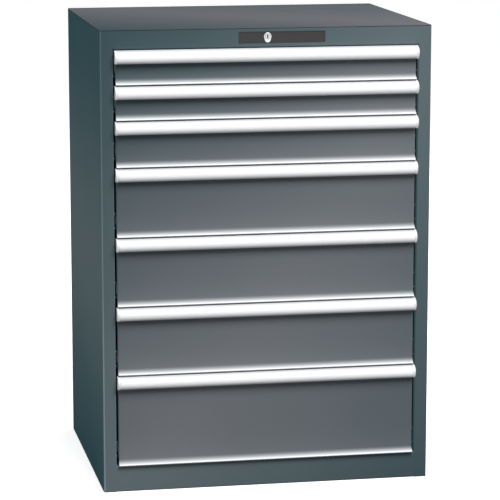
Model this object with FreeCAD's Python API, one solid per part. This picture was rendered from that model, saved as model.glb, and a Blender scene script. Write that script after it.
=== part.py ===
import FreeCAD, Part
import math
import os

# Workshop drawer cabinet of folded and welded sheet steel, with seven drawers on full-extension
# roller slides and one lock for all of them. Units are millimetres. X runs to the right seen from
# the front, Y runs back, Z runs up. The origin is on the floor, under the middle of the whole box.

# Housing
cabinet_width = 717.0
cabinet_depth = 572.0
housing_sheet = 1.5
fold_radius = 1.5
frame_face = 28.0
frame_return = 15.0
rear_return = 20.0
head_rail_height = 42.0
plinth_height = 58.0
plinth_ledge = 27.0
plinth_foot = 20.0
panel_flange = 20.0
floor_flange = 32.0
floor_hole_radius = 5.5
floor_hole_inset = 20.0
floor_hole_end_distance = 66.0

# Drawer fronts, top to bottom, as the 25 mm steps of the front height allow
drawer_heights = [75.0, 75.0, 100.0, 150.0, 150.0, 150.0, 200.0]
front_sheet = 1.2
front_side_gap = 5.25
front_top_gap = 1.5
front_bottom_gap = 1.5
front_recess = 2.0
front_top_return = 12.0
front_side_return = 11.0
lip_radius = 14.0
lip_turn = 60.0
lip_straight = 3.0

# Grip strip, an open hook section with an elliptical nose
grip_height = 28.0
grip_reach = 20.0
grip_nose_drop = 13.5
grip_wall = 2.0
grip_mouth_reach = 12.5
grip_end_overhang = 2.75
end_cap_width = 5.0

# Drawer trays
tray_sheet = 1.2
tray_rear_space = 104.4
tray_lift = 12.0
tray_top_clearance = 11.0
tray_rim = 5.0
wall_slot_width = 4.0
wall_slot_pitch = 102.0
wall_slot_margin = 10.0
wall_slot_foot = 40.0

# Roller slides
full_extension = 460.0
slide_height = 34.0
slide_sheet = 2.0
slide_rise = 5.0
channel_depth = 14.0
middle_rail_thickness = 3.0
middle_rail_height = 26.0
middle_rail_play = 1.5
middle_rail_corner = 6.0
rail_setback = 1.0
middle_rail_setback = 4.0
cabinet_rail_rear_space = 42.0
middle_rail_rear_setback = 28.0
roller_play = 0.3
roller_side_play = 0.8
roller_margin = 18.0
glide_length = 36.0

# Slotted posts that carry the cabinet rails
post_width = 40.0
post_depth = 15.8
post_sheet = 1.5
post_slot_width = 14.0
post_slot_height = 4.0
post_slot_pitch = 150.0
post_front_setback = 12.0
post_rear_setback = 12.0
post_top_gap = 3.5

# Lock plate and cylinder in the head rail
lock_plate_left = -62.0
lock_plate_right = 125.0
lock_plate_height = 24.0
lock_plate_proud = 0.5
lock_plate_fit = 0.25
lock_plate_rim = 4.0
lock_plate_rim_thickness = 1.5
lock_axis_drop = 19.0
lock_face_radius = 8.75
lock_foot_radius = 6.5
lock_foot_drop = 6.5
lock_face_proud = 1.5
lock_barrel_depth = 26.0
plug_radius = 6.0
running_fit = 0.05
key_slot_width = 2.2
key_slot_height = 8.0
key_slot_depth = 14.0

# Lock rod, crank and bar
rod_radius = 4.0
crank_radius = 8.0
crank_thickness = 3.0
crank_pin_radius = 2.5
crank_gap = 1.0
crank_slot_play = 0.5
lock_bar_width = 28.0
lock_bar_thickness = 3.0
lock_bar_end = 5.0
lock_bar_play = 0.3
hook_height = 10.0
hook_thickness = 3.0
hook_gap = 2.0
hook_drop = 2.0
catch_reach = 14.0
catch_height = 40.0
catch_width = 24.0
catch_to_bar = 3.0
guide_height = 16.0
guide_sheet = 2.0
bearing_width = 30.0
bearing_flange = 18.0
bearing_sheet = 3.0
bearing_setback = 16.0
bearing_foot = 6.0

# How far a cutting tool runs past the sheet that it cuts
cut_past = 1.0

# Places worked out from the sizes above
cabinet_height = plinth_height + sum(drawer_heights) + head_rail_height
grip_ahead = grip_reach - front_recess
half_width = cabinet_width / 2
front_y = -(cabinet_depth - grip_ahead) / 2
back_y = front_y + cabinet_depth
inner_half = half_width - housing_sheet
opening_half = half_width - frame_face
return_back_y = front_y + frame_return
back_panel_back_y = back_y - housing_sheet
back_panel_y = back_panel_back_y - housing_sheet
top_under_z = cabinet_height - housing_sheet
head_rail_z = cabinet_height - head_rail_height
base_top_z = plinth_height - housing_sheet

front_half = opening_half - front_side_gap
panel_y = front_y + front_recess
panel_back_y = panel_y + front_sheet
tray_front_y = panel_back_y
tray_back_y = back_panel_y - tray_rear_space

slide_travel = full_extension / 2
post_face_x = inner_half - post_depth
cabinet_rail_inner_x = post_face_x - channel_depth
middle_outer_x = cabinet_rail_inner_x - middle_rail_play
middle_inner_x = middle_outer_x - middle_rail_thickness
runner_outer_x = middle_inner_x - middle_rail_play
tray_half = runner_outer_x - channel_depth
cabinet_rail_front_y = return_back_y + rail_setback
cabinet_rail_back_y = back_panel_y - cabinet_rail_rear_space
middle_front_y = return_back_y + middle_rail_setback
middle_back_y = cabinet_rail_back_y - middle_rail_rear_setback
roller_radius = slide_height / 2 - slide_sheet - roller_play
roller_width = channel_depth - slide_sheet + middle_rail_play - roller_side_play

lock_z = cabinet_height - lock_axis_drop
lock_plate_z = (cabinet_height + head_rail_z) / 2
catch_lip_y = tray_back_y + catch_reach
hook_back_y = catch_lip_y - hook_thickness - hook_gap
bar_front_y = catch_lip_y + catch_to_bar
bar_back_y = bar_front_y + lock_bar_thickness
crank_back_y = bar_front_y - crank_gap
crank_rise = crank_radius * math.sqrt(2)


def box(x0, x1, y0, y1, z0, z1):
    """A block between two corners, given in any order."""
    low = FreeCAD.Vector(min(x0, x1), min(y0, y1), min(z0, z1))
    size = (abs(x1 - x0), abs(y1 - y0), abs(z1 - z0))
    return Part.makeBox(size[0], size[1], size[2], low)


def cylinder_along_y(x, z, radius, y0, y1):
    """A round bar from y0 to y1."""
    return Part.makeCylinder(radius, y1 - y0, FreeCAD.Vector(x, y0, z), FreeCAD.Vector(0, 1, 0))


def joined(shapes):
    """One clean solid out of pieces that are welded or folded from one sheet."""
    first, *others = shapes
    return first.multiFuse(others).removeSplitter() if others else first


def mirrored(shape):
    """The same piece on the other side of the cabinet."""
    return shape.mirror(FreeCAD.Vector(0, 0, 0), FreeCAD.Vector(1, 0, 0))


def bend(corner, heading_in, heading_out, radius):
    """Start, middle and end of the arc that rounds a corner between two headings."""
    turn = math.acos(max(-1.0, min(1.0, heading_in.dot(heading_out))))
    tangent = radius * math.tan(turn / 2)
    start = corner - heading_in * tangent
    end = corner + heading_out * tangent
    inward = (heading_out - heading_in).normalize()
    centre = corner + inward * (radius / math.cos(turn / 2))
    return start, centre - inward * radius, end


def rounded_edges(points, radii):
    """Lines through the points, with each inner corner rounded to its own radius."""
    edges = []
    here = points[0]
    for index in range(1, len(points) - 1):
        heading_in = (points[index] - points[index - 1]).normalize()
        heading_out = (points[index + 1] - points[index]).normalize()
        radius = radii[index - 1]
        if radius > 0:
            start, middle, end = bend(points[index], heading_in, heading_out, radius)
            edges.append(Part.LineSegment(here, start).toShape())
            edges.append(Part.Arc(start, middle, end).toShape())
            here = end
        else:
            edges.append(Part.LineSegment(here, points[index]).toShape())
            here = points[index]
    edges.append(Part.LineSegment(here, points[-1]).toShape())
    return edges


def folded_section(points, thickness, normal, inside_radius):
    """Face of a folded sheet. The points are one side of it, and the sheet lies to the left of
    their direction, seen with the normal pointing at the eye. All folds have one inside radius."""
    headings = [(b - a).normalize() for a, b in zip(points, points[1:])]
    lefts = [normal.cross(heading) for heading in headings]
    offset = [points[0] + lefts[0] * thickness]
    outer_radii = []
    inner_radii = []
    for index in range(1, len(points) - 1):
        left_in, left_out = lefts[index - 1], lefts[index]
        diagonal = (left_in + left_out) * (thickness / (1 + left_in.dot(left_out)))
        offset.append(points[index] + diagonal)
        turns_left = normal.dot(headings[index - 1].cross(headings[index])) > 0
        outer = inside_radius + thickness if inside_radius > 0 else 0.0
        outer_radii.append(outer if turns_left else inside_radius)
        inner_radii.append(inside_radius if turns_left else outer)
    offset.append(points[-1] + lefts[-1] * thickness)
    edges = rounded_edges(points, outer_radii)
    edges.append(Part.LineSegment(points[-1], offset[-1]).toShape())
    edges += rounded_edges(offset[::-1], inner_radii[::-1])
    edges.append(Part.LineSegment(offset[0], points[0]).toShape())
    return Part.Face(Part.Wire(Part.__sortEdges__(edges)))


def plan_section(points, thickness, inside_radius):
    """Folded sheet seen from above, at floor level, from (x, y) points."""
    vectors = [FreeCAD.Vector(x, y, 0) for x, y in points]
    return folded_section(vectors, thickness, FreeCAD.Vector(0, 0, 1), inside_radius)


def side_section(points, thickness, inside_radius):
    """Folded sheet seen from the right, in the plane x = 0, from (y, z) points."""
    vectors = [FreeCAD.Vector(0, y, z) for y, z in points]
    return folded_section(vectors, thickness, FreeCAD.Vector(1, 0, 0), inside_radius)


def along_x(face, x0, x1):
    """A section in the plane x = 0, carried from x0 to x1."""
    solid = face.extrude(FreeCAD.Vector(x1 - x0, 0, 0))
    solid.translate(FreeCAD.Vector(x0, 0, 0))
    return solid


def along_z(face, z0, z1):
    """A section at floor level, carried from z0 to z1."""
    solid = face.extrude(FreeCAD.Vector(0, 0, z1 - z0))
    solid.translate(FreeCAD.Vector(0, 0, z0))
    return solid


def side_panel_right():
    """Side sheet folded round into the frame upright in front and a narrow return behind."""
    section = plan_section(
        [(opening_half, return_back_y), (opening_half, front_y), (half_width, front_y),
         (half_width, back_y), (half_width - rear_return, back_y)],
        housing_sheet, fold_radius)
    upright = along_z(section, 0.0, top_under_z)
    flange_inner_x = inner_half - floor_flange
    flange = box(flange_inner_x, inner_half, front_y + plinth_foot + rail_setback, back_panel_y,
                 0.0, housing_sheet)
    panel = joined([upright, flange])
    for y in floor_hole_places():
        hole = Part.makeCylinder(floor_hole_radius, 3 * housing_sheet,
                                 FreeCAD.Vector(inner_half - floor_hole_inset, y, -housing_sheet))
        panel = panel.cut(hole)
    return panel


def floor_hole_places():
    """Front and rear rows of the holes that bolt the cabinet to a floor."""
    return [front_y + floor_hole_end_distance, back_y - floor_hole_end_distance]


def back_panel():
    """Rear sheet, welded inside the rear returns of the side panels."""
    half = inner_half - fold_radius
    return box(-half, half, back_panel_y, back_panel_back_y, 0.0, top_under_z)


def top_panel():
    """Flat top with flanges turned down inside the side panels."""
    plate = box(-half_width, half_width, front_y, back_y, top_under_z, cabinet_height)
    corners = [edge for edge in plate.Edges if abs(edge.tangentAt(0).z) > 0.99]
    plate = plate.makeFillet(fold_radius + housing_sheet, corners)
    flanges = [
        box(side * (inner_half - housing_sheet), side * inner_half, return_back_y + rail_setback,
            back_panel_y, top_under_z - panel_flange, top_under_z + housing_sheet / 2)
        for side in (-1, 1)]
    return joined([plate] + flanges)


def front_top_rail():
    """Head rail over the drawers, cut out for the lock plate."""
    section = side_section(
        [(front_y, top_under_z), (front_y, head_rail_z), (return_back_y, head_rail_z)],
        housing_sheet, fold_radius)
    rail = along_x(section, -opening_half, opening_half)
    window = box(lock_plate_left - lock_plate_fit, lock_plate_right + lock_plate_fit,
                 front_y - cut_past, front_y + housing_sheet + cut_past,
                 lock_plate_z - lock_plate_height / 2 - lock_plate_fit,
                 lock_plate_z + lock_plate_height / 2 + lock_plate_fit)
    return rail.cut(window)


def front_plinth():
    """Rail under the drawers, with a ledge for the base panel and a foot on the floor."""
    section = side_section(
        [(front_y + plinth_ledge, plinth_height), (front_y, plinth_height), (front_y, 0.0),
         (front_y + plinth_foot, 0.0)],
        housing_sheet, fold_radius)
    return along_x(section, -opening_half, opening_half)


def base_panel():
    """Floor of the housing: a pan turned upside down, under the ledge of the plinth."""
    front = return_back_y + rail_setback
    flange_z = base_top_z - panel_flange
    under_z = base_top_z - housing_sheet
    plate = box(-inner_half, inner_half, front, back_panel_y, under_z, base_top_z)
    sides = [box(side * (inner_half - housing_sheet), side * inner_half, front, back_panel_y,
                 flange_z, base_top_z) for side in (-1, 1)]
    rear = box(-inner_half, inner_half, back_panel_y - housing_sheet, back_panel_y,
               flange_z, base_top_z)
    return joined([plate, rear] + sides)


def post_places():
    """Front faces of the front and rear posts."""
    front = return_back_y + post_front_setback
    rear = cabinet_rail_back_y - post_rear_setback - post_width
    return [front, rear]


def slotted_posts():
    """Four channels on the side panels, with slots in which the cabinet rails hang."""
    posts = []
    top_z = top_under_z - panel_flange - post_top_gap
    slot_count = int((top_z - base_top_z) / post_slot_pitch)
    for y in post_places():
        section = plan_section(
            [(inner_half, y + post_width), (post_face_x, y + post_width), (post_face_x, y),
             (inner_half, y)],
            post_sheet, 0.0)
        post = along_z(section, base_top_z, top_z)
        middle_y = y + post_width / 2
        slots = []
        for index in range(slot_count):
            z = base_top_z + (index + 0.5) * post_slot_pitch
            slots.append(box(post_face_x - cut_past, post_face_x + post_sheet + cut_past,
                             middle_y - post_slot_width / 2, middle_y + post_slot_width / 2,
                             z - post_slot_height / 2, z + post_slot_height / 2))
        post = post.cut(Part.makeCompound(slots))
        posts += [post, mirrored(post)]
    return Part.makeCompound(posts)


def slide_channel(web_x, mouth_x, y0, y1, z):
    """Channel of a slide, open towards mouth_x, centred at height z."""
    low = z - slide_height / 2
    high = z + slide_height / 2
    inward = slide_sheet if mouth_x > web_x else -slide_sheet
    body = box(web_x, mouth_x, y0, y1, low, high)
    hollow = box(web_x + inward, mouth_x + inward, y0 - cut_past, y1 + cut_past,
                 low + slide_sheet, high - slide_sheet)
    return body.cut(hollow)


def drawer_bottoms():
    """Lower edge of each drawer's share of the front, top drawer first."""
    bottoms = []
    z = head_rail_z
    for height in drawer_heights:
        z -= height
        bottoms.append(z)
    return bottoms


def slide_z(bottom):
    """Height of a drawer's slides."""
    return bottom + tray_lift + slide_rise + slide_height / 2


def cabinet_rails():
    """Fixed members of the slides, a pair for each drawer."""
    rails = []
    for bottom in drawer_bottoms():
        rail = slide_channel(post_face_x, cabinet_rail_inner_x, cabinet_rail_front_y,
                             cabinet_rail_back_y, slide_z(bottom))
        rails += [rail, mirrored(rail)]
    return Part.makeCompound(rails)


def lock_plate():
    """Dark plate in the head rail, held by a rim behind the sheet."""
    low = lock_plate_z - lock_plate_height / 2
    high = lock_plate_z + lock_plate_height / 2
    rim_y = front_y + housing_sheet
    pad = box(lock_plate_left, lock_plate_right, front_y - lock_plate_proud, rim_y, low, high)
    rim = box(lock_plate_left - lock_plate_rim, lock_plate_right + lock_plate_rim, rim_y,
              rim_y + lock_plate_rim_thickness, low - lock_plate_rim, high + lock_plate_rim)
    plate = joined([pad, rim])
    return plate.cut(lock_outline(front_y - lock_plate_proud - cut_past,
                                  rim_y + lock_plate_rim_thickness + cut_past))


def lock_outline(y0, y1):
    """Drop shape of the lock: a round head that tapers to a smaller round foot."""
    foot_z = lock_z - lock_foot_drop
    lean = math.asin((lock_face_radius - lock_foot_radius) / lock_foot_drop)
    reach = FreeCAD.Vector(math.cos(lean), 0, -math.sin(lean))
    head_side = FreeCAD.Vector(0, y0, lock_z) + reach * lock_face_radius
    foot_side = FreeCAD.Vector(0, y0, foot_z) + reach * lock_foot_radius
    other_head = FreeCAD.Vector(-head_side.x, y0, head_side.z)
    other_foot = FreeCAD.Vector(-foot_side.x, y0, foot_side.z)
    edges = [
        Part.Arc(other_head, FreeCAD.Vector(0, y0, lock_z + lock_face_radius),
                 head_side).toShape(),
        Part.LineSegment(head_side, foot_side).toShape(),
        Part.Arc(foot_side, FreeCAD.Vector(0, y0, foot_z - lock_foot_radius),
                 other_foot).toShape(),
        Part.LineSegment(other_foot, other_head).toShape()]
    face = Part.Face(Part.Wire(edges))
    return face.extrude(FreeCAD.Vector(0, y1 - y0, 0))


def lock_cylinder():
    """Fixed part of the lock, drop-shaped in section, with the round bore for its plug."""
    face_y = front_y - lock_plate_proud - lock_face_proud
    barrel = lock_outline(face_y, plug_back_y())
    bore = cylinder_along_y(0.0, lock_z, plug_radius + running_fit, face_y - cut_past,
                            plug_back_y() + cut_past)
    return barrel.cut(bore)


def plug_back_y():
    """Rear face of the lock plug, level with the barrel's."""
    return front_y + housing_sheet + lock_plate_rim_thickness + lock_barrel_depth


def lock_plug():
    """Turning core with its key slot upright."""
    face_y = front_y - lock_plate_proud - lock_face_proud
    plug = cylinder_along_y(0.0, lock_z, plug_radius, face_y, plug_back_y())
    slot = box(-key_slot_width / 2, key_slot_width / 2, face_y - cut_past,
               face_y + key_slot_depth,
               lock_z - key_slot_height / 2, lock_z + key_slot_height / 2)
    return plug.cut(slot)


def crank_pin_place():
    """Pin of the crank at rest, down to the right at 45 degrees."""
    half_turn = crank_rise / 2
    return half_turn, lock_z - half_turn


def lock_rod():
    """Rod from the lock to the rear, ending in a crank arm with its pin."""
    pin_x, pin_z = crank_pin_place()
    arm_front_y = crank_back_y - crank_thickness
    rod = cylinder_along_y(0.0, lock_z, rod_radius, plug_back_y(), arm_front_y)
    axis = FreeCAD.Vector(0, arm_front_y, lock_z)
    pin_axis = FreeCAD.Vector(pin_x, arm_front_y, pin_z)
    along = (pin_axis - axis).normalize()
    across = FreeCAD.Vector(-along.z, 0, along.x) * rod_radius
    edges = [
        Part.LineSegment(axis + across, pin_axis + across).toShape(),
        Part.Arc(pin_axis + across, pin_axis + along * rod_radius, pin_axis - across).toShape(),
        Part.LineSegment(pin_axis - across, axis - across).toShape(),
        Part.Arc(axis - across, axis - along * rod_radius, axis + across).toShape()]
    arm = Part.Face(Part.Wire(edges)).extrude(FreeCAD.Vector(0, crank_thickness, 0))
    pin = cylinder_along_y(pin_x, pin_z, crank_pin_radius, crank_back_y, bar_back_y)
    return joined([rod, arm, pin])


def catch_z(bottom):
    """Underside of the catch on a drawer's rear wall."""
    return bottom + tray_lift + catch_height - hook_thickness


def lock_bar():
    """Flat bar behind the drawers, lifted by the crank, with an upturned hook welded on for each
    drawer."""
    pin_x, pin_z = crank_pin_place()
    half = lock_bar_width / 2
    slot_half = crank_pin_radius + crank_slot_play
    lowest_hook_top = catch_z(drawer_bottoms()[-1]) - hook_height - hook_drop
    bottom_z = lowest_hook_top - hook_height - hook_thickness - lock_bar_end
    top_z = pin_z + slot_half + lock_bar_end
    bar = box(-half, half, bar_front_y, bar_back_y, bottom_z, top_z)
    slot = box(pin_x - slot_half, crank_radius + slot_half, bar_front_y - cut_past,
               bar_back_y + cut_past, pin_z - slot_half, pin_z + slot_half)
    pieces = [bar.cut(slot)]
    for bottom in drawer_bottoms():
        top = catch_z(bottom) - hook_height - hook_drop
        low = top - hook_height - hook_thickness
        hook_front_y = hook_back_y - hook_thickness
        foot = box(-catch_width / 2, catch_width / 2, hook_front_y, bar_front_y,
                   low, low + hook_thickness)
        tip = box(-catch_width / 2, catch_width / 2, hook_front_y, hook_back_y, low, top)
        pieces.append(joined([foot, tip]))
    return Part.makeCompound(pieces)


def lock_guides():
    """Three boxed brackets on the back panel, in which the lock bar slides."""
    bottoms = drawer_bottoms()
    half = lock_bar_width / 2 + lock_bar_play
    front = bar_front_y - lock_bar_play
    back = bar_back_y + lock_bar_play
    guides = []
    for z in (bottoms[0], bottoms[3], bottoms[5]):
        low = z - guide_height / 2
        high = z + guide_height / 2
        guide = box(-half - guide_sheet, half + guide_sheet, front - guide_sheet, back_panel_y,
                    low, high)
        bar_way = box(-half, half, front, back, low - cut_past, high + cut_past)
        hollow = box(-half, half, back + guide_sheet, back_panel_y - guide_sheet,
                     low - cut_past, high + cut_past)
        guides.append(guide.cut(bar_way).cut(hollow))
    return Part.makeCompound(guides)


def rod_bearing():
    """Bracket under the top panel that carries the rear end of the lock rod."""
    y = crank_back_y - crank_thickness - bearing_setback
    half = bearing_width / 2
    plate = box(-half, half, y, y + bearing_sheet, lock_z - rod_radius - bearing_foot,
                top_under_z)
    flange = box(-half, half, y - bearing_flange, y + bearing_sheet,
                 top_under_z - bearing_sheet, top_under_z)
    bore = cylinder_along_y(0.0, lock_z, rod_radius + running_fit, y - cut_past,
                            y + bearing_sheet + cut_past)
    return joined([plate, flange]).cut(bore)


def drawer_front(bottom, height):
    """Front: a flat sheet with a lip that curls forward at its foot, stiffened by strips welded
    behind its upper and side edges."""
    top = bottom + height - front_top_gap
    low = bottom + front_bottom_gap
    turn = math.radians(lip_turn)
    lip_drop = lip_radius * math.sin(turn) + lip_straight * math.cos(turn)
    arc_top_z = low + lip_drop
    face_y = panel_y
    centre_y = face_y - lip_radius

    def on_arc(radius, angle):
        return FreeCAD.Vector(0, centre_y + radius * math.cos(angle),
                              arc_top_z - radius * math.sin(angle))

    ahead = FreeCAD.Vector(0, -math.sin(turn), -math.cos(turn)) * lip_straight
    back_radius = lip_radius + front_sheet
    shoulder = FreeCAD.Vector(0, face_y, top)
    back_shoulder = FreeCAD.Vector(0, face_y + front_sheet, top)
    face_end = on_arc(lip_radius, turn)
    back_end = on_arc(back_radius, turn)
    edges = [
        Part.LineSegment(back_shoulder, shoulder).toShape(),
        Part.LineSegment(shoulder, on_arc(lip_radius, 0)).toShape(),
        Part.Arc(on_arc(lip_radius, 0), on_arc(lip_radius, turn / 2), face_end).toShape(),
        Part.LineSegment(face_end, face_end + ahead).toShape(),
        Part.LineSegment(face_end + ahead, back_end + ahead).toShape(),
        Part.LineSegment(back_end + ahead, back_end).toShape(),
        Part.Arc(back_end, on_arc(back_radius, turn / 2), on_arc(back_radius, 0)).toShape(),
        Part.LineSegment(on_arc(back_radius, 0), back_shoulder).toShape()]
    sheet = along_x(Part.Face(Part.Wire(edges)), -front_half, front_half)
    upper = box(-front_half, front_half, panel_back_y, face_y + front_top_return,
                top - front_sheet, top)
    sides = [box(side * (front_half - front_sheet), side * front_half, panel_back_y,
                 face_y + front_side_return, arc_top_z, top - front_sheet) for side in (-1, 1)]
    return Part.makeCompound([sheet, upper] + sides)


def grip_point(reach, drop_above, drop_below, angle, top):
    """Point on the nose: an ellipse quarter above the nose line and another below it.
    The angle is 0 at the nose, positive upwards."""
    nose_z = top - grip_nose_drop
    rise = drop_above if angle > 0 else drop_below
    return FreeCAD.Vector(0, panel_y - reach * math.cos(angle), nose_z + rise * math.sin(angle))


def grip_arc(reach, rise, angle0, angle1, top):
    """Part of an ellipse about the nose line, between two angles, as an edge."""
    centre = FreeCAD.Vector(0, panel_y, top - grip_nose_drop)
    forward = FreeCAD.Vector(0, -1, 0)
    up = FreeCAD.Vector(0, 0, 1)
    if reach >= rise:
        ellipse = Part.Ellipse(centre + forward * reach, centre + up * rise, centre)
        return Part.ArcOfEllipse(ellipse, angle0, angle1).toShape()
    ellipse = Part.Ellipse(centre + up * rise, centre - forward * reach, centre)
    return Part.ArcOfEllipse(ellipse, angle0 - math.pi / 2, angle1 - math.pi / 2).toShape()


def grip_sizes():
    """Half heights of the nose's outer ellipses, and the angle where the hook ends."""
    above = grip_nose_drop
    end_angle = math.acos(grip_mouth_reach / grip_reach)
    below = (grip_height - grip_nose_drop) / math.sin(end_angle)
    return above, below, end_angle


def grip_strip(top):
    """Extruded grip: a flat back on the drawer front and a hooked nose, open below for fingers."""
    above, below, end_angle = grip_sizes()
    inner_reach = grip_reach - grip_wall
    inner_above = above - grip_wall
    inner_below = below - grip_wall
    start_angle = math.acos(grip_wall / inner_reach)
    outer_top = grip_point(grip_reach, above, below, math.pi / 2, top)
    outer_end = grip_point(grip_reach, above, below, -end_angle, top)
    inner_end = grip_point(inner_reach, inner_above, inner_below, -end_angle, top)
    inner_top = grip_point(inner_reach, inner_above, inner_below, start_angle, top)
    web_low = FreeCAD.Vector(0, panel_y - grip_wall, top - grip_height)
    back_low = FreeCAD.Vector(0, panel_y, top - grip_height)
    edges = [
        grip_arc(grip_reach, above, 0, math.pi / 2, top),
        grip_arc(grip_reach, below, -end_angle, 0, top),
        Part.LineSegment(outer_end, inner_end).toShape(),
        grip_arc(inner_reach, inner_below, -end_angle, 0, top),
        grip_arc(inner_reach, inner_above, 0, start_angle, top),
        Part.LineSegment(inner_top, web_low).toShape(),
        Part.LineSegment(web_low, back_low).toShape(),
        Part.LineSegment(back_low, outer_top).toShape()]
    face = Part.Face(Part.Wire(Part.__sortEdges__(edges)))
    half = front_half + grip_end_overhang - end_cap_width
    return along_x(face, -half, half)


def end_caps(top):
    """Moulded plates that close both ends of the grip strip."""
    above, below, end_angle = grip_sizes()
    outer_top = grip_point(grip_reach, above, below, math.pi / 2, top)
    outer_end = grip_point(grip_reach, above, below, -end_angle, top)
    back_low = FreeCAD.Vector(0, panel_y, top - grip_height)
    edges = [
        grip_arc(grip_reach, above, 0, math.pi / 2, top),
        grip_arc(grip_reach, below, -end_angle, 0, top),
        Part.LineSegment(outer_end, back_low).toShape(),
        Part.LineSegment(back_low, outer_top).toShape()]
    face = Part.Face(Part.Wire(Part.__sortEdges__(edges)))
    outer = front_half + grip_end_overhang
    cap = along_x(face, outer - end_cap_width, outer)
    return Part.makeCompound([cap, mirrored(cap)])


def drawer_tray(bottom, height):
    """Tray of welded sheets with slotted side walls, its two runners and its lock catch."""
    low = bottom + tray_lift
    top = bottom + height - tray_top_clearance
    inner = tray_half - tray_sheet
    floor_top = low + tray_sheet
    floor = box(-tray_half, tray_half, tray_front_y, tray_back_y, low, floor_top)
    front = box(-inner, inner, tray_front_y, tray_front_y + tray_sheet, floor_top, top)
    back = box(-inner, inner, tray_back_y - tray_sheet, tray_back_y, floor_top, top)
    wall = box(inner, tray_half, tray_front_y, tray_back_y, floor_top, top)
    rim = box(inner, tray_half + tray_rim, tray_front_y, tray_back_y, top - tray_sheet, top)
    side = joined([wall, rim])
    slot_low = low + wall_slot_foot
    slot_high = top - wall_slot_margin
    if slot_high - slot_low > 2 * wall_slot_width:
        side = side.cut(Part.makeCompound(wall_slots(inner, slot_low, slot_high)))
    runner = slide_channel(tray_half, runner_outer_x, tray_front_y + wall_slot_margin,
                           tray_back_y, slide_z(bottom))
    catch_under = catch_z(bottom)
    half_catch = catch_width / 2
    catch_arm = box(-half_catch, half_catch, tray_back_y, catch_lip_y,
                    catch_under, catch_under + hook_thickness)
    catch_lip = box(-half_catch, half_catch, catch_lip_y - hook_thickness, catch_lip_y,
                    catch_under - hook_height, catch_under + hook_thickness)
    catch = joined([catch_arm, catch_lip])
    return Part.makeCompound([floor, front, back, side, mirrored(side), runner, mirrored(runner),
                              catch])


def wall_slots(inner, slot_low, slot_high):
    """Upright slots in a side wall, into which partitions drop."""
    slots = []
    inner_depth = tray_back_y - tray_front_y - 2 * tray_sheet
    count = int(inner_depth / wall_slot_pitch)
    first = tray_front_y + tray_sheet + (inner_depth - (count - 1) * wall_slot_pitch) / 2
    for index in range(count):
        y = first + index * wall_slot_pitch
        slots.append(box(inner - cut_past, tray_half + cut_past, y - wall_slot_width / 2,
                         y + wall_slot_width / 2, slot_low, slot_high))
    return slots


def roller_places():
    """Roller and glide that run in the drawer's runner, then those in the cabinet rail, so that
    all of them are still inside their channels when the drawer is fully out."""
    inboard = [middle_front_y + roller_margin, tray_back_y - slide_travel - roller_margin]
    outboard = [cabinet_rail_front_y + slide_travel + roller_margin,
                middle_back_y - roller_margin]
    return inboard, outboard


def slide_rails(bottom):
    """Middle members: flat bars with cut corners, one on each side."""
    z = slide_z(bottom)
    half = middle_rail_height / 2
    back = middle_back_y
    outline = [(middle_front_y, z - half + middle_rail_corner),
               (middle_front_y + middle_rail_corner, z - half),
               (back - middle_rail_corner, z - half), (back, z - half + middle_rail_corner),
               (back, z + half - middle_rail_corner), (back - middle_rail_corner, z + half),
               (middle_front_y + middle_rail_corner, z + half),
               (middle_front_y, z + half - middle_rail_corner)]
    corners = [FreeCAD.Vector(0, y, height) for y, height in outline]
    face = Part.Face(Part.makePolygon(corners + corners[:1]))
    rail = along_x(face, middle_inner_x, middle_outer_x)
    return Part.makeCompound([rail, mirrored(rail)])


def slide_rollers(bottom):
    """Rollers and glides of one drawer's middle rails. On each side of the bar, the roller is in
    front, where the load presses it down, and the glide behind."""
    z = slide_z(bottom)
    inboard, outboard = roller_places()
    bearings = []
    for x, places in ((middle_inner_x - roller_width, inboard), (middle_outer_x, outboard)):
        roller_y, glide_y = places
        bearings.append(Part.makeCylinder(roller_radius, roller_width,
                                          FreeCAD.Vector(x, roller_y, z),
                                          FreeCAD.Vector(1, 0, 0)))
        bearings.append(box(x, x + roller_width, glide_y - glide_length / 2,
                            glide_y + glide_length / 2, z - roller_radius, z + roller_radius))
    return Part.makeCompound(bearings + [mirrored(bearing) for bearing in bearings])


def save(name, shape):
    """Writes one sub-part."""
    shape.exportStep("parts/" + name + ".step")


os.makedirs("parts", exist_ok=True)
right_side = side_panel_right()
save("side_panel_right", right_side)
save("side_panel_left", mirrored(right_side))
save("back_panel", back_panel())
save("top_panel", top_panel())
save("front_top_rail", front_top_rail())
save("front_plinth", front_plinth())
save("base_panel", base_panel())
save("slotted_posts", slotted_posts())
save("cabinet_rails", cabinet_rails())
save("lock_plate", lock_plate())
save("lock_cylinder", lock_cylinder())
save("lock_guides", lock_guides())
save("rod_bearing", rod_bearing())
save("lock_plug", lock_plug())
save("lock_rod", lock_rod())
save("lock_bar", lock_bar())
for number, (drawer_bottom, drawer_height) in enumerate(zip(drawer_bottoms(), drawer_heights), 1):
    grip_top = drawer_bottom + drawer_height - front_top_gap
    save(f"drawer_{number}_front", drawer_front(drawer_bottom, drawer_height))
    save(f"drawer_{number}_handle", grip_strip(grip_top))
    save(f"drawer_{number}_end_caps", end_caps(grip_top))
    save(f"drawer_{number}_tray", drawer_tray(drawer_bottom, drawer_height))
    save(f"slide_{number}_rails", slide_rails(drawer_bottom))
    save(f"slide_{number}_rollers", slide_rollers(drawer_bottom))
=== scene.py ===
"""Workshop drawer cabinet: painted steel housing and seven lockable drawers with grip strips.

Lengths are in metres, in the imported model's frame: X right, Y back, Z up, origin on the floor.
The sections follow the cabinet as it is put together, from the housing in to the rollers.
"""
import math

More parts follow.
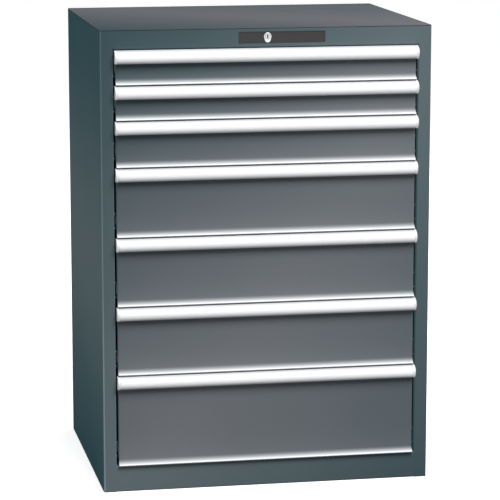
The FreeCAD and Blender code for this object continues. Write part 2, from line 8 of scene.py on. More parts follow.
import bpy
import numpy as np
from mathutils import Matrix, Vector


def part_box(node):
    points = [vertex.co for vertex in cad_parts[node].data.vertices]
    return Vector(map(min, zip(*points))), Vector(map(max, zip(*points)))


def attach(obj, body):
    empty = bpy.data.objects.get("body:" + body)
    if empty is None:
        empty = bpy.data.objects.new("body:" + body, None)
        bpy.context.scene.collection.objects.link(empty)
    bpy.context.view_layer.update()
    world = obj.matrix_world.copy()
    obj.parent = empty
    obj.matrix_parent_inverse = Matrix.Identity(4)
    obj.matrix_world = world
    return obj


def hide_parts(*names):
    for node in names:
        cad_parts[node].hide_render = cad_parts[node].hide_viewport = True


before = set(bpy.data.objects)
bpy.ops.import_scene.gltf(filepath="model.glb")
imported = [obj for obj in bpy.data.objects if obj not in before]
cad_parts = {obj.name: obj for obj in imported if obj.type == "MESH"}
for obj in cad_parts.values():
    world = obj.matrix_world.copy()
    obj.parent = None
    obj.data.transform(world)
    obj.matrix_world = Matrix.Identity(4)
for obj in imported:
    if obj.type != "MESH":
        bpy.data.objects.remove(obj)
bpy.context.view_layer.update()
MM = 0.001

# Camera, at the height and angle of a catalogue photograph: a long lens, a little above the
# cabinet and left of its middle. The focal length is in pixels of a 500-pixel picture.
CAMERA_PLACE = (-1.015, -5.438, 1.476)
CAMERA_YAW = 10.72
CAMERA_TILT = 10.29
FOCAL_PIXELS = 2486.0
PICTURE_PIXELS = 500.0
SENSOR_WIDTH = 36.0
SIGHT_LENGTH = 100.0

camera_data = bpy.data.cameras.new("camera")
camera_data.sensor_width = SENSOR_WIDTH
camera_data.lens = FOCAL_PIXELS / PICTURE_PIXELS * SENSOR_WIDTH
camera_data.clip_end = SIGHT_LENGTH
camera = bpy.data.objects.new("camera", camera_data)
camera.location = CAMERA_PLACE
camera.rotation_euler = (math.radians(90.0 - CAMERA_TILT), 0.0, math.radians(-CAMERA_YAW))
bpy.context.scene.collection.objects.link(camera)
bpy.context.scene.camera = camera
bpy.context.scene.view_settings.view_transform = "Standard"


# Floor and surroundings: a wide white floor under a white studio. The camera and reflections see
# both as plain white, while the floor still takes a soft shadow of the cabinet.
class Value:
    """A node socket that Python expressions can reckon with; each sign adds one Math node."""

    def __init__(self, nodes, socket):
        self.nodes = nodes
        self.socket = socket

    def join(self, operation, other, swapped=False):
        values = (other, self) if swapped else (self, other)
        settings = {"operation": operation}
        return self.nodes.add("ShaderNodeMath", settings, {0: values[0], 1: values[1]})

    def __add__(self, other):
        return self.join("ADD", other)

    def __radd__(self, other):
        return self.join("ADD", other, True)

    def __sub__(self, other):
        return self.join("SUBTRACT", other)

    def __rsub__(self, other):
        return self.join("SUBTRACT", other, True)

    def __mul__(self, other):
        return self.join("MULTIPLY", other)

    def __truediv__(self, other):
        return self.join("DIVIDE", other)

    def clamped(self):
        """The value kept between 0 and 1."""
        return self.nodes.add("ShaderNodeClamp", {}, {"Value": self})

    def below(self, limit):
        """1 where the value is under the limit, and 0 elsewhere."""
        return self.join("LESS_THAN", limit)

    def through(self, operation):
        """The value after a Math node with one input, such as SQRT."""
        return self.nodes.add("ShaderNodeMath", {"operation": operation}, {0: self})


class Nodes:
    """The node tree of one finish."""

    def __init__(self, tree):
        self.tree = tree
        tree.nodes.clear()

    def add(self, kind, settings=None, inputs=None, output=0):
        """A node of that kind. Settings go on first, then values or links on its sockets."""
        node = self.tree.nodes.new(kind)
        for name, value in (settings or {}).items():
            setattr(node, name, value)
        for name, value in (inputs or {}).items():
            if isinstance(value, Value):
                self.tree.links.new(value.socket, node.inputs[name])
            else:
                node.inputs[name].default_value = value
        return Value(self, node.outputs[output]) if node.outputs else None

    def object_place(self):
        """Object coordinates: the place on the cabinet, in metres."""
        return self.add("ShaderNodeTexCoord", {}, {}, "Object")

    def parts_of(self, place):
        """The x, y and z of a place."""
        node = self.tree.nodes.new("ShaderNodeSeparateXYZ")
        self.tree.links.new(place.socket, node.inputs[0])
        return [Value(self, socket) for socket in node.outputs]

    def mix(self, share, first, second):
        """A colour between two colours."""
        settings = {"data_type": "RGBA"}
        return self.add("ShaderNodeMix", settings, {0: share, 6: first, 7: second}, 2)

    def noise(self, place, scale, detail=2.0):
        """Soft random pattern between 0 and 1, with its cells about 1/scale metres wide."""
        settings = {"noise_dimensions": "3D"}
        inputs = {"Vector": place, "Scale": scale, "Detail": detail}
        return self.add("ShaderNodeTexNoise", settings, inputs, 0)

    def bump(self, height, distance, strength=1.0):
        """Surface normal raised by a height pattern, up to a distance in metres."""
        inputs = {"Strength": strength, "Distance": distance, "Height": height}
        return self.add("ShaderNodeBump", {}, inputs)

    def surface(self, inputs):
        """The finish itself, joined to the output."""
        shader = self.add("ShaderNodeBsdfPrincipled", {}, inputs)
        self.add("ShaderNodeOutputMaterial", {}, {"Surface": shader})


def new_finish(name):
    """An empty material and its nodes."""
    material = bpy.data.materials.new(name)
    material.use_nodes = True
    return material, Nodes(material.node_tree)


def grey(level):
    """A colour without hue."""
    return (level, level, level, 1.0)


def shaded(colour, share):
    """A colour made darker or paler by a share."""
    return tuple(part * share for part in colour[:3]) + (1.0,)


FLOOR_HALF = 30.0
FLOOR_WHITE = 0.90
FLOOR_GLOW = 0.70
FLOOR_BOUNCE = 0.30
ROOM_LIGHT = 0.30


def seen_directly(nodes):
    """1 for rays from the camera, a mirror or a clear piece, and 0 for all other light."""
    path = nodes.tree.nodes.new("ShaderNodeLightPath")
    rays = [Value(nodes, path.outputs[name])
            for name in ("Is Camera Ray", "Is Glossy Ray", "Is Transmission Ray")]
    return (rays[0] + rays[1] + rays[2]).clamped()


floor_mesh = bpy.data.meshes.new("floor")
floor_corners = [(x * FLOOR_HALF, y * FLOOR_HALF, 0.0)
                 for x, y in ((-1, -1), (1, -1), (1, 1), (-1, 1))]
floor_mesh.from_pydata(floor_corners, [], [(0, 1, 2, 3)])
floor = bpy.data.objects.new("floor", floor_mesh)
bpy.context.scene.collection.objects.link(floor)
floor_paint, nodes = new_finish("floor_white")
glow = nodes.add("ShaderNodeEmission", {}, {"Color": grey(1.0), "Strength": FLOOR_GLOW})
matt = nodes.add("ShaderNodeBsdfDiffuse", {}, {"Color": grey(FLOOR_WHITE)})
white = nodes.add("ShaderNodeAddShader", {}, {0: matt, 1: glow})
dim = nodes.add("ShaderNodeBsdfDiffuse", {}, {"Color": grey(FLOOR_BOUNCE)})
mixed = nodes.add("ShaderNodeMixShader", {}, {0: seen_directly(nodes), 1: dim, 2: white})
nodes.add("ShaderNodeOutputMaterial", {}, {"Surface": mixed})
floor_mesh.materials.append(floor_paint)

world = bpy.data.worlds.new("studio")
bpy.context.scene.world = world
world.use_nodes = True
nodes = Nodes(world.node_tree)
room = nodes.add("ShaderNodeBackground", {}, {"Color": grey(1.0), "Strength": ROOM_LIGHT})
plain = nodes.add("ShaderNodeBackground", {}, {"Color": grey(1.0), "Strength": 1.0})
mixed = nodes.add("ShaderNodeMixShader", {}, {0: seen_directly(nodes), 1: room, 2: plain})
nodes.add("ShaderNodeOutputWorld", {}, {"Surface": mixed})


# Lamps: soft square panels that face the cabinet's middle. A large one hangs above in front, a weak
# one stands at the left side, and one behind at the right lights the top and the right side.
LAMP_TARGET = (0.0, 0.0, 0.5)


def add_panel_light(name, place, size, power):
    """Square soft lamp at a place, facing the target."""
    data = bpy.data.lights.new(name, "AREA")
    data.shape = "SQUARE"
    data.size = size
    data.energy = power
    lamp = bpy.data.objects.new(name, data)
    lamp.location = place
    direction = np.array(LAMP_TARGET) - np.array(place)
    level = math.hypot(direction[0], direction[1])
    turn = math.atan2(direction[1], direction[0]) - math.pi / 2
    lamp.rotation_euler = (math.atan2(level, -direction[2]), 0.0, turn)
    bpy.context.scene.collection.objects.link(lamp)


add_panel_light("key_light", (1.4, -4.5, 5.5), 3.4, 470.0)
add_panel_light("fill_light", (-3.8, -0.2, 1.5), 2.4, 30.0)
add_panel_light("back_light", (3.2, 3.4, 2.6), 2.6, 150.0)


# Housing: sheet steel, folded and welded, under a satin powder coat in a dark blue grey. The side
# panels, back and base keep the sheets of the imported model. The coat has the faint orange peel of
# powder paint and a painted sheen in a pale band across it. Its flanks are painted in darker shaded
# copies of it, with a painted highlight along the left front fold, and faces inside the gaps beside
# the drawers have a faint painted glow.
# The coat's deep shade, and the pale one of its painted sheen band:
HOUSING_DEEP = (0.048, 0.081, 0.092, 1.0)
HOUSING_SHEEN = (0.122, 0.157, 0.172, 1.0)
# The flanks in darker, painted-shade copies of the coat:
SIDE_SHADE_DEEP = (0.036, 0.092, 0.108, 1.0)
SIDE_SHADE_PALE = (0.113, 0.160, 0.178, 1.0)
# The painted highlight along the left front fold, and how far back it reaches:
FOLD_HIGHLIGHT_DEEP = (0.090, 0.130, 0.145, 1.0)
FOLD_HIGHLIGHT_PALE = (0.240, 0.310, 0.335, 1.0)
# A faint painted glow on faces inside the gaps beside the drawers:
GAP_LIGHT = (0.022, 0.046, 0.052, 1.0)
GAP_DEPTH = 40.0 * MM
GAP_DARK = grey(0.0)
PAINT_ROUGH = 0.55
ROUGH_SPREAD = 0.08
ROUGH_SCALE = 14.0
PAINT_SHINE = 0.012
SIDE_SHINE = 0.001
PEEL_SCALE = 900.0
PEEL_HEIGHT = 0.06 * MM
PEEL_STRENGTH = 0.5
BAND_SLANT = 1.4
BAND_BACK = 1.8
BAND_PEAK = 1.08
BAND_CREST = 0.1
BAND_FADE = 0.15
BAND_CLOUDS = 0.25
BAND_CLOUD_SCALE = 3.0
SIDE_CLOUDS = 0.15
SIDE_CLOUD_SCALE = 4.0
SHEET = 1.5 * MM
FOLD_OUTSIDE = 3.0 * MM
FOLD_HIGHLIGHT_DEPTH = 0.9 * FOLD_OUTSIDE
TOP_LOW, TOP_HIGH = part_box("top_panel")
HALF_WIDTH = TOP_HIGH[0]
HALF_HEIGHT = TOP_HIGH[2] / 2
FRONT_FACE_Y = TOP_LOW[1]


def painted_sheen(nodes, place, middle):
    """Painted sheen: how pale the coat is painted, 1 along a broad slanting band across the
    cabinet, from its upper right to its lower left, and 0 at the two far corners, with soft clouds
    in it. On the front face it crosses x = 0 at the middle height, and it rises by the slant for
    each metre to the right and by the back share for each metre back. The height d away from it
    counts as sqrt(d * d + crest * crest), so that the band has no sharp ridge."""
    x, y, z = nodes.parts_of(place)
    across = x * BAND_SLANT + (y - FRONT_FACE_Y) * BAND_BACK + middle - z
    away = (across * across + BAND_CREST ** 2).through("SQRT")
    clouds = (nodes.noise(place, BAND_CLOUD_SCALE, 1.0) - 0.5) * BAND_CLOUDS
    return (BAND_PEAK - away - z * BAND_FADE + clouds).clamped()


def gap_light(nodes, place):
    """Painted light: a faint glow, given as emission, on the faces that look sideways into the gaps
    beside the drawers, by the square of the normal's x."""
    x, y, _ = nodes.parts_of(place)
    facing_x = nodes.parts_of(nodes.add("ShaderNodeNewGeometry", {}, {}, "Normal"))[0]
    inside = (x * x).below((HALF_WIDTH - 2 * SHEET) ** 2) * y.below(FRONT_FACE_Y + GAP_DEPTH)
    return nodes.mix(facing_x * facing_x * inside, GAP_DARK, GAP_LIGHT)


def paint_finish(name, deep, pale, roughness, shine=PAINT_SHINE, middle=0.5, shades=None):
    """Powder coat from a deep to a pale shade across a painted sheen band, with the fine peel of the
    powder in its surface and a faint painted glow, as emission, on faces that look into the gaps.
    shades is a function that lays a piece's own painted light and shade over those of the coat."""
    material, nodes = new_finish(name)
    place = nodes.object_place()
    sheen_share = painted_sheen(nodes, place, middle)
    colours = nodes.mix(sheen_share, deep, pale)
    if shades:
        colours = shades(nodes, place, sheen_share, colours)
    peel = nodes.noise(place, PEEL_SCALE)
    rough = roughness + (nodes.noise(place, ROUGH_SCALE) - 0.5) * ROUGH_SPREAD
    nodes.surface({"Base Color": colours, "Roughness": rough, "Specular IOR Level": shine,
                   "Emission Color": gap_light(nodes, place), "Emission Strength": 1.0,
                   "Normal": nodes.bump(peel, PEEL_HEIGHT, PEEL_STRENGTH)})
    return material


def painted_side_light(nodes, place, sheen_share, colours):
    """Painted shade and light on the outer sides: darker copies of the coat, palest at half height
    by half a cosine wave, and a painted highlight on the left front fold."""
    x, y, z = nodes.parts_of(place)
    on_side = 1.0 - x.through("ABSOLUTE").below(HALF_WIDTH - SHEET / 2)
    behind_fold = 1.0 - y.below(FRONT_FACE_Y + FOLD_HIGHLIGHT_DEPTH)
    wave = ((z / HALF_HEIGHT - 1.0) * math.pi).through("COSINE")
    clouds = (nodes.noise(place, SIDE_CLOUD_SCALE, 1.0) - 0.5) * SIDE_CLOUDS
    side_colours = nodes.mix((0.5 + wave * 0.5 + clouds).clamped(), SIDE_SHADE_DEEP, SIDE_SHADE_PALE)
    colours = nodes.mix(on_side * behind_fold, colours, side_colours)
    # Painted highlight along the left front fold.
    on_fold = x.below(FOLD_OUTSIDE - HALF_WIDTH) * (1.0 - behind_fold)
    return nodes.mix(on_fold, colours, nodes.mix(sheen_share, FOLD_HIGHLIGHT_DEEP, FOLD_HIGHLIGHT_PALE))


def dress(node, material):
    """Gives a CAD node its finish."""
    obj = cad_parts[node]
    obj.data.materials.clear()
    obj.data.materials.append(material)


housing_paint = paint_finish("housing_paint", HOUSING_DEEP, HOUSING_SHEEN, PAINT_ROUGH)
side_shaded_paint = paint_finish("side_shaded_paint", HOUSING_DEEP, HOUSING_SHEEN, PAINT_ROUGH, SIDE_SHINE,
                          shades=painted_side_light)
for node in ("back_panel", "base_panel"):
    dress(node, housing_paint)
for node in ("side_panel_left", "side_panel_right"):
    dress(node, side_shaded_paint)


# Front frame and top: head rail, plinth and flat top, each folded from one sheet and welded
# between the uprights. The welds are ground flush, so the rails run into the uprights unseen.
LOCK_PLATE_RIM = 4.0 * MM
LOCK_PLATE_FIT = 0.25 * MM
SHARP = 0.05 * MM
CUT_EDGE = 0.3 * MM
TOP_EDGE_ROUND = 1.2 * MM
# The top's flat face in darker, painted-shade copies of the coat:
TOP_SHADE_DEEP = (0.030, 0.050, 0.060, 1.0)
TOP_SHADE_PALE = (0.098, 0.098, 0.108, 1.0)
PLINTH_FOOT = 20.0 * MM
FLANGE_SETBACK = 16.0 * MM
ARC_STEP = math.radians(7.0)
HELPER_REACH = 0.4 * MM
HELPER_SHARE = 0.2
LEAST_RUN = 0.01 * MM
END_STEPS = 5


def rounded_loop(corners, radii):
    """Closed loop of points in a plane: straight runs between arcs, one arc at each corner. An
    arc of radius r turns by angle t about the point r / cos(t/2) inside the corner, and starts
    r * tan(t/2) before it. Each arc has a helper point just outside either end, so that smooth
    shading doesn't spread over the flat runs."""
    corners = np.asarray(corners, float)
    pieces = []
    for index, radius in enumerate(radii):
        corner = corners[index]
        heading_in = corner - corners[index - 1]
        heading_out = corners[(index + 1) % len(corners)] - corner
        run_in, run_out = np.linalg.norm(heading_in), np.linalg.norm(heading_out)
        heading_in, heading_out = heading_in / run_in, heading_out / run_out
        turn = math.acos(np.clip(heading_in @ heading_out, -1.0, 1.0))
        side = math.copysign(1.0, heading_in[0] * heading_out[1] - heading_in[1] * heading_out[0])
        reach = radius * math.tan(turn / 2)
        start = corner - heading_in * reach
        inward = side * np.array([-heading_in[1], heading_in[0]])
        count = max(3, int(turn / ARC_STEP) + 1)
        angles = np.linspace(0.0, turn, count)[:, None]
        arc = start + radius * (heading_in * np.sin(angles) + inward * (1.0 - np.cos(angles)))
        spare_in, spare_out = run_in - 2 * reach, run_out - 2 * reach
        helper = min(HELPER_REACH, HELPER_SHARE * max(min(spare_in, spare_out), LEAST_RUN))
        pieces += [[start - heading_in * helper], arc, [arc[-1] + heading_out * helper]]
    return np.concatenate([np.asarray(piece) for piece in pieces])


def turned_out(vertices, triangles, faces):
    """The faces, turned so that the volume inside them, a sixth of the sum of a . (b x c) over the
    triangles a, b, c of the same skin, is positive."""
    corners = vertices[triangles]
    volume = np.einsum("ij,ij->", corners[:, 0], np.cross(corners[:, 1], corners[:, 2]))
    return faces if volume > 0 else [face[::-1] for face in faces]


def solid(rings, looped=False):
    """Vertices and faces of a solid whose skin runs through rings of equal count, given as an
    array of rings, points and (x, y, z). A looped one closes from the last ring to the first, and
    another has a flat face at each end."""
    rings = np.asarray(rings, float)
    length, count = rings.shape[:2]
    index = np.arange(count)
    follow = np.roll(index, -1)
    here = np.arange(length if looped else length - 1)[:, None] * count
    after = (here + count) % (length * count)
    quads = np.stack([here + index, here + follow, after + follow, after + index], axis=2)
    quads = quads.reshape(-1, 4)
    vertices = rings.reshape(-1, 3)
    triangles = np.concatenate([quads[:, [0, 1, 2]], quads[:, [0, 2, 3]]])
    faces = quads.tolist()
    if not looped:
        start, end = index[::-1], index + (length - 1) * count
        faces += [start.tolist(), end.tolist()]
        for cap in (start, end):
            fan = np.column_stack([np.full(count - 2, cap[0]), cap[1:-1], cap[2:]])
            triangles = np.concatenate([triangles, fan])
    return vertices, turned_out(vertices, triangles, faces)


def end_steps(rounding):
    """Steps of a rounded end: at angle a the ring is rounding * (1 - cos a) along from the end,
    and its sides are in by rounding * (1 - sin a). One more ring behind keeps the shading flat."""
    if rounding == 0:
        return np.zeros(1), np.zeros(1)
    angles = np.linspace(0.0, math.pi / 2, END_STEPS)
    return (rounding * np.append(1.0 - np.cos(angles), 2.0),
            rounding * np.append(1.0 - np.sin(angles), 0.0))


def carried(loop, axis, low, high, rounding=(0.0, 0.0)):
    """A closed loop in the plane across an axis, carried along it from low to high, with its two
    ends rounded: each ring is the loop moved in along its own normals."""
    tangent = np.roll(loop, -1, axis=0) - np.roll(loop, 1, axis=0)
    tangent /= np.maximum(np.linalg.norm(tangent, axis=1, keepdims=True), 1e-12)
    ahead = np.roll(loop, -1, axis=0)
    turning = np.sign(np.sum(loop[:, 0] * ahead[:, 1] - ahead[:, 0] * loop[:, 1]))
    inward = turning * np.column_stack([-tangent[:, 1], tangent[:, 0]])
    low_steps, low_shrink = end_steps(rounding[0])
    high_steps, high_shrink = end_steps(rounding[1])
    stations = np.concatenate([low + low_steps, (high - high_steps)[::-1]])
    shrink = np.concatenate([low_shrink, high_shrink[::-1]])
    flat = loop[None] + inward[None] * shrink[:, None, None]
    return solid(np.insert(flat, axis, stations[:, None], axis=2))


def block(low, high, rounding=CUT_EDGE):
    """A sheet or bar between two corners, with all its edges rounded."""
    (x0, y0, z0), (x1, y1, z1) = low, high
    loop = rounded_loop([(x0, y0), (x1, y0), (x1, y1), (x0, y1)], [rounding] * 4)
    return carried(loop, 2, z0, z1, (rounding, rounding))


def add_piece(name, shapes, material, body, replaced, smooth_to=40.0, values=None):
    """One object from several (vertices, faces) shapes, placed on its body in its node's stead.
    values is an attribute's name and the function that works it out from the vertices."""
    vertices, faces, start = [], [], 0
    for points, polygons in shapes:
        vertices.append(points)
        faces += [[start + corner for corner in polygon] for polygon in polygons]
        start += len(points)
    vertices = np.concatenate(vertices)
    mesh = bpy.data.meshes.new(name)
    mesh.from_pydata(vertices.tolist(), [], faces)
    mesh.shade_smooth()
    mesh.set_sharp_from_angle(angle=math.radians(smooth_to))
    if values:
        attribute = mesh.attributes.new(values[0], "FLOAT", "POINT")
        attribute.data.foreach_set("value", np.asarray(values[1](vertices), np.float32))
    mesh.materials.append(material)
    piece = bpy.data.objects.new(name, mesh)
    bpy.context.scene.collection.objects.link(piece)
    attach(piece, body)
    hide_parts(*replaced)


def rail_loop(outer, inner_radius):
    """Section of a folded sheet from the (y, z) corners of its outer side: out along them, with
    the folds at the outer radius, and back along the same corners moved in by the sheet."""
    outer = np.asarray(outer, float)
    headings = np.diff(outer, axis=0)
    headings /= np.linalg.norm(headings, axis=1, keepdims=True)
    lefts = np.column_stack([-headings[:, 1], headings[:, 0]])
    inner = np.vstack([outer[:1] + lefts[:1] * SHEET,
                       outer[1:-1] + (lefts[:-1] + lefts[1:]) * SHEET,
                       outer[-1:] + lefts[-1:] * SHEET])
    folds = len(outer) - 2
    radii = ([CUT_EDGE] + [FOLD_OUTSIDE] * folds + [CUT_EDGE] * 2 + [inner_radius] * folds
             + [CUT_EDGE])
    return rounded_loop(np.vstack([outer, inner[::-1]]), radii)


low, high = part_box("front_top_rail")
reach = high[0] + FOLD_OUTSIDE
plate_low, plate_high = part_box("lock_plate")
inset = LOCK_PLATE_RIM - LOCK_PLATE_FIT
window_left, window_right = plate_low[0] + inset, plate_high[0] - inset
window_low, window_high = plate_low[2] + inset, plate_high[2] - inset


def head_section(top_z):
    """Section of the head rail up to a height: down its face, then back under the sheet."""
    return rail_loop([(low[1], top_z), (low[1], low[2]), (high[1], low[2])], FOLD_OUTSIDE - SHEET)


over_window = rounded_loop([(low[1], window_high), (low[1], high[2]), (low[1] + SHEET, high[2]),
                            (low[1] + SHEET, window_high)], [SHARP] * 4)
add_piece("head_rail", [carried(head_section(high[2]), 0, -reach, window_left),
                        carried(head_section(high[2]), 0, window_right, reach),
                        carried(head_section(window_low), 0, window_left, window_right),
                        carried(over_window, 0, window_left, window_right)],
          housing_paint, "housing", ["front_top_rail"])

low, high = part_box("front_plinth")
foot_y = low[1] + PLINTH_FOOT
section = rail_loop([(high[1], high[2]), (low[1], high[2]), (low[1], low[2]), (foot_y, low[2])],
                    FOLD_OUTSIDE - SHEET)
add_piece("plinth", [carried(section, 0, -reach, reach)], housing_paint, "housing",
          ["front_plinth"])



def painted_top_shade(nodes, place, sheen_share, colours):
    """Painted shade: the top's flat face alone is in its own darker copies of the coat, and its
    edges in the housing's shades.
    """
    below_face = nodes.parts_of(place)[2].below(TOP_HIGH[2] - TOP_EDGE_ROUND / 4)
    return nodes.mix(below_face, colours, nodes.mix(sheen_share, HOUSING_DEEP, HOUSING_SHEEN))


low, high = TOP_LOW, TOP_HIGH
under_z = high[2] - SHEET
outline = rounded_loop([(low[0], low[1]), (high[0], low[1]), (high[0], high[1]), (low[0], high[1])],
                       [FOLD_OUTSIDE] * 4)
top_shapes = [carried(outline, 2, under_z, high[2], (0.0, TOP_EDGE_ROUND))]
flange_out = high[0] - SHEET
for flange_x in (flange_out - SHEET, -flange_out):
    top_shapes.append(block((flange_x, low[1] + FLANGE_SETBACK, low[2]),
                            (flange_x + SHEET, high[1] - 2 * SHEET, under_z)))
top_shaded_paint = paint_finish("top_shaded_paint", TOP_SHADE_DEEP, TOP_SHADE_PALE, PAINT_ROUGH, shades=painted_top_shade)
add_piece("top_sheet", top_shapes, top_shaded_paint, "housing", ["top_panel"])


# Posts, cabinet rails and lock linkage: zinc-plated sheet steel with a faint spangle, as it
# comes from the roll, cut and folded without paint.
DRAWERS = range(1, 8)
ZINC_NODES = ["slotted_posts", "cabinet_rails", "lock_guides", "rod_bearing", "lock_rod",
              "lock_bar"] + [f"slide_{n}_rails" for n in DRAWERS]
ZINC_DULL = (0.24, 0.25, 0.26, 1.0)
ZINC_BRIGHT = (0.36, 0.37, 0.38, 1.0)
SPANGLE_SCALE = 90.0
ZINC_METAL = 0.9
ZINC_ROUGH = 0.36


def zinc_finish():
    """Zinc plate: metal with broad spangles, each of its own shade and gloss."""
    material, nodes = new_finish("zinc_steel")
    place = nodes.object_place()
    cells = nodes.add("ShaderNodeTexVoronoi", {}, {"Vector": place, "Scale": SPANGLE_SCALE},
                      "Color")
    spangle = nodes.add("ShaderNodeSeparateColor", {}, {"Color": cells}, 0)
    colours = nodes.mix(spangle * 0.5, ZINC_DULL, ZINC_BRIGHT)
    nodes.surface({"Base Color": colours, "Metallic": ZINC_METAL,
                   "Roughness": ZINC_ROUGH + spangle * 0.1})
    return material


zinc_steel = zinc_finish()
for node in ZINC_NODES:
    dress(node, zinc_steel)


# Lock: a dark moulded plate let into the head rail, with a sunk field inside a narrow rim. It is
# clipped in from the front and held by a wider rim behind the sheet.
PLATE_FRAME = 1.1 * MM
PLATE_SINK = 0.7 * MM
PLATE_BEVEL = 0.25 * MM
LOCK_FACE_RADIUS = 8.2 * MM
LOCK_FOOT_RADIUS = 6.3 * MM
LOCK_FOOT_DROP = 6.5 * MM
LOCK_POINTS = 96
NEVER_FLAT = 0.1
NEVER_ZERO = 1e-9
PLATE_BLACK = (0.044, 0.044, 0.045, 1.0)
PLATE_SHINE = 0.1
PLATE_SMOOTH = 20.0
LOCK_SMOOTH = 30.0
GRAIN_SCALE = 1800.0
GRAIN_HEIGHT = 0.04 * MM
PLASTIC_CLOUD_SCALE = 30.0
PLASTIC_PALER = 1.12
PLUG_LOW, PLUG_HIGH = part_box("lock_plug")
PLUG_RADIUS = (PLUG_HIGH[0] - PLUG_LOW[0]) / 2
LOCK_Z = (PLUG_LOW[2] + PLUG_HIGH[2]) / 2


def plastic_finish(name, colour, roughness, shine=0.4):
    """Moulded plastic with a fine grain and slightly cloudy colour."""
    material, nodes = new_finish(name)
    place = nodes.object_place()
    grain = nodes.noise(place, GRAIN_SCALE)
    clouds = nodes.noise(place, PLASTIC_CLOUD_SCALE)
    colours = nodes.mix(clouds, colour, shaded(colour, PLASTIC_PALER))
    nodes.surface({"Base Color": colours, "Roughness": roughness + grain * 0.06,
                   "Specular IOR Level": shine, "Normal": nodes.bump(grain, GRAIN_HEIGHT, 0.4)})
    return material


def lock_headings(corners):
    """Headings about the lock's axis, in order: evenly spread ones and those of the corners."""
    even = np.linspace(-math.pi, math.pi, LOCK_POINTS, endpoint=False)
    return np.unique(np.concatenate([even, np.arctan2(corners[:, 1], corners[:, 0])]))


def disc_reach(angles, radius, drop=0.0):
    """Reach from the lock's axis to a circle whose centre lies below the axis by the drop: the
    far root of r^2 + 2 r drop sin(a) + drop^2 = radius^2."""
    lean = drop * np.sin(angles)
    return -lean + np.sqrt(np.maximum(lean ** 2 + radius ** 2 - drop ** 2, 0.0))


def drop_reach(angles, inset=0.0):
    """Reach to the lock's drop outline, moved in by the inset: a round head about the axis, a
    smaller round foot below it, and their common tangents, at head / cos(heading + lean)."""
    lean = math.asin((LOCK_FACE_RADIUS - LOCK_FOOT_RADIUS) / LOCK_FOOT_DROP)
    head, foot = LOCK_FACE_RADIUS - inset, LOCK_FOOT_RADIUS - inset
    heading = np.arcsin(np.sin(angles))
    tangent = head / np.maximum(np.cos(heading + lean), NEVER_FLAT)
    foot_start = math.atan2(-LOCK_FOOT_DROP - foot * math.sin(lean), foot * math.cos(lean))
    below = np.where(heading > foot_start, tangent, disc_reach(angles, foot, LOCK_FOOT_DROP))
    return np.where(heading > -lean, head, below)


def box_reach(angles, low, high):
    """Reach from the lock's axis to a box around it, from corner to corner in (x, z)."""
    across, up = np.cos(angles), np.sin(angles)
    wide = np.abs(np.where(across > 0, high[0], low[0])) / np.maximum(np.abs(across), NEVER_ZERO)
    tall = np.abs(np.where(up > 0, high[1], low[1])) / np.maximum(np.abs(up), NEVER_ZERO)
    return np.minimum(wide, tall)


def lock_ring(angles, reach, y):
    """Ring of points about the lock's axis, at a depth."""
    return np.column_stack([reach * np.cos(angles), np.full(len(angles), y),
                            LOCK_Z + reach * np.sin(angles)])


low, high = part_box("lock_plate")
rim_low = np.array([low[0], low[2] - LOCK_Z])
rim_high = np.array([high[0], high[2] - LOCK_Z])
pad_low, pad_high = rim_low + LOCK_PLATE_RIM, rim_high - LOCK_PLATE_RIM
corners = np.array([(x, z) for ends in ((rim_low, rim_high), (pad_low, pad_high))
                    for x in (ends[0][0], ends[1][0]) for z in (ends[0][1], ends[1][1])])
angles = lock_headings(corners)
well, rim = drop_reach(angles), box_reach(angles, rim_low, rim_high)
pad = box_reach(angles, pad_low, pad_high)
front_y, back_y = low[1], high[1]
rim_y = FRONT_FACE_Y + SHEET
field_y = front_y + PLATE_SINK
steps = [(well, back_y), (rim, back_y), (rim, rim_y), (pad, rim_y), (pad, front_y + PLATE_BEVEL)]
for inset, y in ((PLATE_BEVEL, front_y), (PLATE_FRAME, front_y),
                 (PLATE_FRAME + PLATE_BEVEL, field_y)):
    steps.append((box_reach(angles, pad_low + inset, pad_high - inset), y))
steps.append((well, field_y))
plate_plastic = plastic_finish("lock_plate_black", PLATE_BLACK, 0.5, PLATE_SHINE)
plate_rings = [lock_ring(angles, reach, y) for reach, y in steps]
add_piece("lock_cover", [solid(plate_rings, looped=True)], plate_plastic, "housing", ["lock_plate"],
          smooth_to=PLATE_SMOOTH)


# Lock cylinder: a polished zinc casting, drop-shaped in section, fixed in the plate. Its edge is
# rounded, and the bore for the plug has a small countersink that shows as a dark ring.
CYLINDER_EDGE = 0.8 * MM
COUNTERSINK = 0.5 * MM
PLUG_PLAY = 0.05 * MM
CYLINDER_CHROME = (0.74, 0.75, 0.77, 1.0)
# The colour of the painted shade deep in the key slot:
SLOT_SHADE = (0.010, 0.010, 0.012, 1.0)
SWIRL_SCALE = 400.0
SWIRL_DARKER = 0.8
CHROME_ROUGH = 0.22


def chrome_finish(name, colour, shade_depth=None, face_y=0.0):
    """Polished plated metal with faint swirls. With a shade depth it is painted darker from the face
    into the key slot over that depth, as painted shade."""
    material, nodes = new_finish(name)
    place = nodes.object_place()
    swirls = nodes.noise(place, SWIRL_SCALE, 3.0)
    shades = nodes.mix(swirls, colour, shaded(colour, SWIRL_DARKER))
    if shade_depth:
        inside = ((nodes.parts_of(place)[1] - face_y) / shade_depth).clamped()
        shades = nodes.mix(inside, shades, SLOT_SHADE)
    nodes.surface({"Base Color": shades, "Metallic": 1.0, "Roughness": CHROME_ROUGH + swirls * 0.15})
    return material


